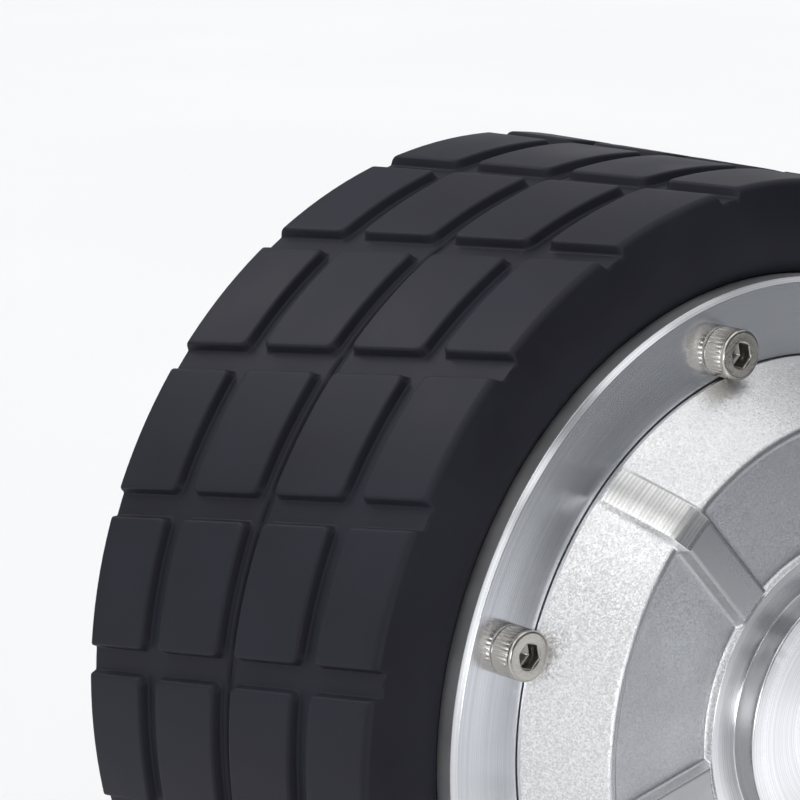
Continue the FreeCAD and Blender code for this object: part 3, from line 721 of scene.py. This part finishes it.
# For each station of the section: the rib's top there, how far the rib has risen, and the top's finish
def ribTops(section):
    outward, fall = coneRun / coneLength, -coneFall / coneLength
    raisedRadius = cover["ridgeRadius"] - fall * cover["ribHeight"]
    raisedPlace = cover["plateau"] + outward * cover["ribHeight"]
    top = cover["plateau"] + cover["ribRise"]
    knee = raisedRadius + (top - raisedPlace) / fall * outward
    kneeReach = cover["ribKnee"]
    slack, cornerSlack = 1e-6, 0.01  # the second reaches into the land's rounded corner
    radii, places = section.T
    first = int(np.argmax(radii > cover["landRadius"] - cornerSlack))
    last = first + int(np.argmax(places[first:] < cover["stepFace"] - slack)) - 1
    ridgeStart = last - int(np.argmax(places[last::-1] > cover["plateau"] - slack))
    ridgeEnd = ridgeStart + cover["arcSteps"]
    topRadii = [radii[first], knee - kneeReach, knee + kneeReach * outward, cover["stepRadius"]]
    topPlaces = [top, top, top + kneeReach * fall, cover["stepFace"] + cover["ribFoot"]]
    lengths = np.concatenate([[0], np.cumsum(np.linalg.norm(np.diff(section, axis=0), axis=1))])
    knots = lengths[[first, ridgeStart, ridgeEnd, last]]
    tops = section.copy()
    rise = np.zeros(len(section))
    marks = [None] * len(section)
    for index in range(first, last + 1):
        reached = lengths[index]
        share = np.clip((reached - knots[2]) / (knots[3] - knots[2]), 0, 1)
        crown = 4 * cover["ribCrown"] * share * (1 - share)
        tops[index] = (np.interp(reached, knots, topRadii) - fall * crown,
                       np.interp(reached, knots, topPlaces) + outward * crown)
        pastStart = radii[index] - cover["landRadius"] - cover["ribStart"]
        rise[index] = np.clip(pastStart / cover["ribBlend"], 0, 1)
        marks[index] = "satin" if index < ridgeStart else "turned"
    return tops, rise, marks


# Lines round half a rib's sector: those across the rib keep their width, the free ones share the rest
def sectorLines():
    wall = wallLine(cover["ribLean"], cover["ribTopRound"], cover["ribFootRound"], cover["wallSteps"])
    half = cover["ribWidth"] / 2
    lines = [(half * share, 1.0) for share in cover["ribTopLines"]]
    lines += sorted((half + cover["ribLean"] / 2 + offset, height) for offset, height in wall)
    reach = lines[-1][0] + cover["ribMargin"]
    across = [("across", place, height) for place, height in lines + [(reach, 0.0)]]
    count = cover["freeLines"]
    free = [("free", step / count, 0.0) for step in range(1, count + 1)]
    return across + free, reach


def coverMesh(name, isRear):
    corners = outerCorners(isRear) + innerCorners(isRear)
    section, runs = sectionLine(corners, cover["arcSteps"], isRear)
    tops, rise, marks = ribTops(section)
    lines, reach = sectorLines()
    columns = [(-1, *line) for line in reversed(lines[1:-1])] + [(1, *line) for line in lines]
    perRib = len(columns)
    sector = math.pi / cover["ribs"]
    middles = math.radians(cover["ribAngle"]) + 2 * sector * np.arange(cover["ribs"])
    grid = np.zeros((len(section), cover["ribs"] * perRib, 3))
    for row, (base, top) in enumerate(zip(section, tops)):
        span = max(base[0], cover["bossRadius"])
        edge = math.asin(reach / span)
        for column, (side, kind, place, height) in enumerate(columns):
            radius, distance = base + (top - base) * (height * rise[row])
            fromRib = math.asin(place / span) if kind == "across" else edge + (sector - edge) * place
            for rib, middle in enumerate(middles):
                angle = middle + side * fromRib
                point = (-radius * math.sin(angle), -distance, radius * math.cos(angle))
                grid[row, rib * perRib + column] = point
    heights = [height for side, kind, place, height in columns]
    fullHeight, risen = 0.98, 0.5  # from here on a face belongs to a rib's top

    def finishOf(row, column):
        height = min(heights[column % perRib], heights[(column + 1) % perRib])
        onTop = height > fullHeight and rise[(row + 1) % len(section)] > risen
        return marks[row] if onTop and marks[row] else runs[row]

    if isRear:
        grid = grid * halfTurn
    mesh = meshFromGrid(name, grid * mm, isRear, True, finishOf, coverFinishes)
    if not isRear:
        tidyMesh(mesh, poleReach)
    for key in coverFinishes:
        mesh.materials.append(finish[key])
    return mesh


coverFaces = []
for side, isRear in (("front", False), ("rear", True)):
    piece = linked(side + "_cover_casting", coverMesh(side + "CoverCasting", isRear))
    evenShading(piece)
    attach(piece, "wheel")
    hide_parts(side + "_cover")
    coverFaces.append(len(piece.data.polygons))
print("covers:", coverFaces, "faces")


# Cover screws: knurled socket heads; millimetres and degrees

screw = {
    "count": 6, "circle": 40.7, "angle": 12.7,
    "headRadius": 2.75, "headHeight": 3.0, "headRound": 0.28, "roundSteps": 4, "topMargin": 0.1,
    "footChamfer": 0.1, "shankRadius": 1.5, "length": 8.05, "tipChamfer": 0.3,
    "acrossFlats": 2.5, "socketDepth": 1.6, "socketCone": 0.35, "socketRim": 0.12,
    "floorShare": 0.98, "floorBevel": 0.05, "rimShare": 1.01, "rimBevel": 0.02,
    "mouthLeast": 1.40, "mouthRadius": 1.55, "mouthBevel": 0.01,
    # the socket's painted shade: how far it reaches, and its share on the head's top
    "socketShadeReach": 1.5, "topPaintedShade": 0.5,  # how far the socket's dull colour goes, and its share on the top
    "ridges": 36, "ridgeDepth": 0.13, "ridgeProfile": (0, 0.35, 1, 0.35),
    "knurlStart": 0.35, "knurlEnd": 2.35, "knurlLead": 0.08, "leadTop": 0.1, "leadFoot": 0.05,
    "weld": 1e-7,
}


# Rows from the socket over the head to the tip: a radius, or one for each angle, and a height over the flange
def screwRows(angles):
    sixth = math.pi / 3
    hexagon = screw["acrossFlats"] / 2 / np.cos((angles + sixth / 2) % sixth - sixth / 2)
    head, height, rounding = screw["headRadius"], screw["headHeight"], screw["headRound"]
    knurled = head - screw["ridgeDepth"] * np.tile(screw["ridgeProfile"], screw["ridges"])
    floor, rim = height - screw["socketDepth"], height - screw["socketRim"]
    rows = [
        (0, floor - screw["socketCone"]),
        (hexagon * screw["floorShare"], floor),
        (hexagon, floor + screw["floorBevel"]),
        (hexagon, rim - screw["rimBevel"]),
        (hexagon * screw["rimShare"], rim),
        (np.maximum(hexagon, screw["mouthLeast"]), height - screw["mouthBevel"]),
        (screw["mouthRadius"], height),
        (head - rounding - screw["topMargin"], height),
    ]
    for angle in np.linspace(0, math.pi / 2, screw["roundSteps"] + 1):
        rows.append((head - rounding * (1 - math.sin(angle)), height - rounding * (1 - math.cos(angle))))
    shank, length, tip = screw["shankRadius"], screw["length"], screw["tipChamfer"]
    rows += [
        (head, screw["knurlEnd"] + screw["leadTop"]),
        (knurled, screw["knurlEnd"] - screw["knurlLead"]),
        (knurled, screw["knurlStart"] + screw["knurlLead"]),
        (head, screw["knurlStart"] - screw["leadFoot"]),
        (head, screw["footChamfer"]),
        (head - screw["footChamfer"], 0),
        (shank, 0),
        (shank, tip - length),
        (shank - tip, -length),
        (0, -length),
    ]
    return rows


# Marks where shade is painted on the screws: the whole socket, and the head's top in part
def paintSocketShade(mesh):
    inside = mesh.attributes.new("socket", "FLOAT", "POINT")
    topStart = screw["headHeight"] - screw["socketRim"] / 2
    for number, vertex in enumerate(mesh.vertices):
        reach = math.hypot(vertex.co.x, vertex.co.z - screw["circle"] * mm) / mm
        height = abs(vertex.co.y) / mm - cover["flangeFace"]
        # full painted shade inside the socket, part of it on the head's top
        inSocketShade = reach < screw["socketShadeReach"] and 0 < height < topStart
        onTopShade = height > topStart
        inside.data[number].value = 1 if inSocketShade else screw["topPaintedShade"] * onTopShade


def screwModule(isRear):
    segments = screw["ridges"] * len(screw["ridgeProfile"])
    angles = np.linspace(0, 2 * math.pi, segments, endpoint=False)
    rows = screwRows(angles)
    grid = np.zeros((len(rows), segments, 3))
    for row, (radius, height) in enumerate(rows):
        grid[row, :, 0] = radius * np.cos(angles)
        grid[row, :, 1] = -cover["flangeFace"] - height
        grid[row, :, 2] = screw["circle"] + radius * np.sin(angles)
    if isRear:
        grid = grid * halfTurn
    mesh = meshFromGrid("screwModule", grid * mm, False, True)
    tidyMesh(mesh, poleReach)
    paintSocketShade(mesh)
    return mesh


for side, isRear in (("front", False), ("rear", True)):
    start = math.radians(screw["angle"]) * (1 if isRear else -1)
    module = screwModule(isRear)
    name = side + "_socket_screws"
    piece = ringOfCopies(name, module, screw["count"], start, finish["stainless"], screw["weld"])
    evenShading(piece)
    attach(piece, "wheel")
    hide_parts(side + "_cover_screws")
print("screws made")


# Rear shaft seal: rubber body with a dished face and a lip on the axle

seal = {
    "axleRadius": 8.55, "outside": rearPocket["sealRadius"], "inner": rearPocket["lipEnd"], "outer": bossFace,
    "lead": (0.5, 0.6), "edgeWidth": 1.2, "dish": 0.9, "dishWall": 0.5,
    "lipWidth": 1.1, "lipDrop": 0.15, "axleDrop": 0.35,
    "arcSteps": 4, "segments": 128,
}


# A closed rubber ring from rows of radius, distance, rounding and longest step
def rubberRing(name, meshName, sizes, rows):
    corners = [(radius, place, rounding, "sealRubber", longest) for radius, place, rounding, longest in rows]
    section = sectionLine(corners, sizes["arcSteps"], True)[0]
    made = linked(name, spunMesh(meshName, section, sizes["segments"]))
    made.data.materials.append(finish["sealRubber"])
    return evenShading(made)


def sealRows():
    axle, outside, inner, outer = seal["axleRadius"], seal["outside"], seal["inner"], seal["outer"]
    lip, edge = axle + seal["lipWidth"], outside - seal["edgeWidth"]
    dished, slant = outer - seal["dish"], seal["dishWall"]
    leadWidth, leadLength = seal["lead"]
    return [
        (axle, inner + leadLength, 0.1, 2.0),
        (axle + leadWidth, inner, 0.1, 2.0),
        (outside, inner, 0.1, 2.0),
        (outside, outer, 0.35, 2.0),
        (edge, outer, 0.3, 1.0),
        (edge - slant, dished, 0.4, 1.0),
        (lip + slant, dished, 0.4, 1.0),
        (lip, outer - seal["lipDrop"], 0.2, 1.0),
        (axle, outer - seal["axleDrop"], 0.15, 1.0),
    ]


sealPiece = rubberRing("rear_lip_seal", "rearLipSeal", seal, sealRows())
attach(sealPiece, "wheel")
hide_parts("rear_shaft_seal")


# Grommet in the axle's open end, with a rounded lip

grommet = {"hole": 3.0, "barrel": 4.5, "lip": 5.8, "lipLength": 1.5, "lipLean": 0.1, "arcSteps": 5,
           "segments": 96}


def grommetRows():
    hole, barrel, lip = grommet["hole"], grommet["barrel"], grommet["lip"]
    seat = grommetEnd - grommet["lipLength"]
    return [
        (hole, grommetStart, 0.2, 2.0),
        (barrel, grommetStart, 0.3, 2.0),
        (barrel, seat, 0, 2.0),
        (lip, seat, 0.2, 2.0),
        (lip - grommet["lipLean"], grommetEnd, 0.6, 2.0),
        (hole, grommetEnd, 0.6, 2.0),
    ]


grommetPiece = rubberRing("cable_sleeve", "cableSleeve", grommet, grommetRows())
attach(grommetPiece, "stator")
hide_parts("cable_grommet")
print("seal and grommet made")


# Camera, fitted to circles on the wheel; metres and degrees

cameraFit = {"distance": 0.410, "azimuth": -43.457, "elevation": 16.287, "turn": 3.699, "tilt": -3.928,
             "lens": 158.15, "sensor": 36, "aim": (0, -0.0012, 0), "clip": (0.01, 50)}


def makeCamera():
    azimuth, elevation = math.radians(cameraFit["azimuth"]), math.radians(cameraFit["elevation"])
    back = Vector((math.sin(azimuth) * math.cos(elevation), -math.cos(azimuth) * math.cos(elevation),
                   math.sin(elevation)))
    data = bpy.data.cameras.new("camera")
    data.lens = cameraFit["lens"]
    data.sensor_width = cameraFit["sensor"]
    data.clip_start, data.clip_end = cameraFit["clip"]
    made = bpy.data.objects.new("camera", data)
    made.location = back * cameraFit["distance"] + Vector(cameraFit["aim"])
    made.rotation_euler = (math.radians(90 - cameraFit["elevation"] - cameraFit["tilt"]), 0,
                           math.radians(cameraFit["azimuth"] + cameraFit["turn"]))
    scene.collection.objects.link(made)
    scene.camera = made


makeCamera()
print("camera placed")


# Floor, lamps, cards and world; metres, watts and degrees

studio = {
    "floorColour": (0.88, 0.88, 0.88), "floorShade": 0.98, "floorRoughness": (0.9, 1.0),
    "floorReach": 8.0, "floorGap": 0.0002,
    "background": (0.93, 0.935, 0.945), "ceiling": (0.50, 0.50, 0.51), "ceilingSpan": (0.35, 0.85),
    "fill": (0.36, 0.365, 0.38),
    "sunStrength": 2.5, "sunAngle": 110, "sunFrom": (-0.35, 0.2, 0.9),
    "lowCardShades": ((0.16, 0.80), (0.20, 0.64), (0.24, 0.44), (0.285, 0.27), (0.355, 0.0), (0.445, 0.02),
                      (0.50, 0.95)),  # distance from the wheel, brightness
    "lowCardRoughness": 0.9, "cardTint": (0.88, 0.97, 1.12),
    "highCard": 0.11, "highCardShade": 0.9, "highCardRoughness": (0.8, 0.9),
    "cardGap": 0.001, "cardStart": 0.16, "cardDistance": 0.6, "cardHeight": 0.36, "cardSteps": 24,
    "cardSpans": ((-28, 105), (145, 215)),
    "gapCard": {"place": (-0.141, -0.317, 0.514), "size": (0.10, 0.22)},
    "softboxes": (
        {"name": "frontStrip", "place": (-0.15, -0.371, -0.01), "size": (0.12, 0.09), "energy": 0.25},
        {"name": "leftBox", "place": (-0.40, -0.15, 0.53), "size": (0.14, 0.26), "energy": 0.32},
        {"name": "coneBox", "place": (0.02, -0.10, 0.68), "size": (0.6, 0.35), "energy": 0.62},
        {"name": "footBox", "place": (-0.30, 0.16, 0.50), "size": (0.2, 0.2), "energy": 0.15},
        {"name": "edgeStripHigh", "place": (0.053, -0.377, 0.587), "size": (0.25, 0.12), "energy": 0.12},
        {"name": "edgeStripLow", "place": (-0.276, -0.46, 0.45), "size": (0.20, 0.10), "energy": 0.075},
        {"name": "edgeStripNear", "place": (-0.49, -0.565, 0.20), "size": (0.10, 0.46), "energy": 0.18},
        {"name": "rimBox", "place": (-0.25, 0.55, 0.55), "size": (0.5, 0.2), "energy": 1.2},
        {"name": "discCard", "place": (0.113, -0.212, -0.040), "size": (0.05, 0.03), "energy": 0.002,
         "aim": (0, -0.038, 0.005)},
        {"name": "bounceCard", "place": (0.122, -0.165, -0.052), "size": (0.10, 0.10), "energy": 0.018,
         "aim": (0.122, -0.165, 0)},
    ),  # aimed at the wheel's centre where no aim is given
}
paperGrain = (6, 400, 0.0001)  # clouds and grains per metre, grain depth


def makeFloor():
    reach, height = studio["floorReach"], tyreLow.z - studio["floorGap"]
    corners = [(x * reach, y * reach, height) for x, y in ((-1, -1), (1, -1), (1, 1), (-1, 1))]
    mesh = bpy.data.meshes.new("floor")
    mesh.from_pydata(corners, [], [(0, 1, 2, 3)])
    made = linked("floor", mesh)
    colour = studio["floorColour"]
    dark = shaded(colour, studio["floorShade"])
    material = makePlain("paleFloor", dark, colour, 0.0, studio["floorRoughness"], *paperGrain)
    material.node_tree.nodes["Principled BSDF"].inputs["Specular IOR Level"].default_value = 0
    mesh.materials.append(material)


def hideFrom(made, *rays):
    for ray in rays:
        setattr(made, "visible_" + ray, False)


def makeLamps():
    data = bpy.data.lights.new("topLight", "SUN")
    data.energy = studio["sunStrength"]
    data.angle = math.radians(studio["sunAngle"])
    made = bpy.data.objects.new("topLight", data)
    made.rotation_euler = Vector(studio["sunFrom"]).to_track_quat("Z", "Y").to_euler()
    hideFrom(made, "camera", "glossy")
    scene.collection.objects.link(made)
    for box in studio["softboxes"]:
        data = bpy.data.lights.new(box["name"], "AREA")
        data.shape = "RECTANGLE"
        data.size, data.size_y = box["size"]
        data.energy = box["energy"]
        made = bpy.data.objects.new(box["name"], data)
        made.location = box["place"]
        backward = Vector(box["place"]) - Vector(box.get("aim", (0, 0, 0)))
        made.rotation_euler = backward.to_track_quat("Z", "Y").to_euler()
        hideFrom(made, "camera", "diffuse")
        scene.collection.objects.link(made)


# Card on the floor, graded from the wheel outwards
def makeLowCard():
    shades = studio["lowCardShades"]
    material, tree, shader = startMaterial("lowCard", studio["cardTint"], 0.0, studio["lowCardRoughness"])
    shader.inputs["Specular IOR Level"].default_value = 0
    near, far = shades[0][0], shades[-1][0]
    grade = addNode(tree, "ShaderNodeValToRGB")
    join(remap(pointLength(tree, (1, 1, 0)), near, far, 0, 1), grade.inputs[0])
    stops = grade.color_ramp.elements
    while len(stops) < len(shades):
        stops.new(0.5)
    for stop, (distance, shade) in zip(stops, shades):
        stop.position = (distance - near) / (far - near)
        tinted = (shade * (shade + value * (1 - shade)) for value in studio["cardTint"])
        stop.color = (*tinted, 1)
    join(grade.outputs["Color"], shader.inputs["Base Color"])
    return material


# Dark cards that only reflections see, as a studio sets round bright metal
def makeCards():
    colour = shaded(studio["cardTint"], studio["highCard"])
    dark = shaded(colour, studio["highCardShade"])
    high = makePlain("highCard", dark, colour, 0.0, studio["highCardRoughness"], *paperGrain)
    finishes = {"low": makeLowCard(), "high": high}
    floor = tyreLow.z + studio["cardGap"]
    rings = ((studio["cardStart"], floor), (studio["cardDistance"], floor),
             (studio["cardDistance"], studio["cardHeight"]))

    def bentFinish(row, column):
        return "high" if column else "low"

    def flatFinish(row, column):
        return "high"

    cards = []
    for start, end in studio["cardSpans"]:
        angles = np.radians(np.linspace(start, end, studio["cardSteps"]))
        rows = [[(reach * math.sin(angle), -reach * math.cos(angle), height) for reach, height in rings]
                for angle in angles]
        cards.append((np.array(rows), bentFinish))
    place = Vector(studio["gapCard"]["place"])
    turn = place.to_track_quat("Z", "Y")
    across, along = (size / 2 for size in studio["gapCard"]["size"])
    rows = [[place + turn @ Vector((x, y, 0)) for y in (-along, along)] for x in (-across, across)]
    cards.append((np.array(rows), flatFinish))
    for number, (grid, finishOf) in enumerate(cards):
        name = "flag%d" % number
        made = linked(name, meshFromGrid(name, grid, False, False, finishOf, tuple(finishes)))
        for material in finishes.values():
            made.data.materials.append(material)
        hideFrom(made, "camera", "diffuse", "shadow", "transmission")


# Camera, mirror and glass rays see the pale background, all other rays the fill light
def makeWorld():
    world = bpy.data.worlds.new("studio")
    world.use_nodes = True
    tree = world.node_tree
    seen = tree.nodes["Background"]
    fill = addNode(tree, "ShaderNodeBackground", {"Color": (*studio["fill"], 1)})
    split = addNode(tree, "ShaderNodeSeparateXYZ")
    join(addNode(tree, "ShaderNodeTexCoord").outputs["Generated"], split.inputs[0])
    upward = remap(split.outputs["Z"], *studio["ceilingSpan"], 0, 1)
    upward.node.interpolation_type = "SMOOTHSTEP"
    join(tint(upward, studio["background"], studio["ceiling"]), seen.inputs["Color"])
    rays = addNode(tree, "ShaderNodeLightPath")
    chosen = rays.outputs["Is Camera Ray"]
    for kind in ("Is Glossy Ray", "Is Transmission Ray"):
        either = addNode(tree, "ShaderNodeMath", operation="MAXIMUM")
        join(chosen, either.inputs[0])
        join(rays.outputs[kind], either.inputs[1])
        chosen = either.outputs[0]
    mixed = addNode(tree, "ShaderNodeMixShader")
    join(chosen, mixed.inputs[0])
    join(fill.outputs[0], mixed.inputs[1])
    join(seen.outputs[0], mixed.inputs[2])
    join(mixed.outputs[0], tree.nodes["World Output"].inputs["Surface"])
    scene.world = world


makeFloor()
makeLamps()
makeCards()
makeWorld()
print("studio made")
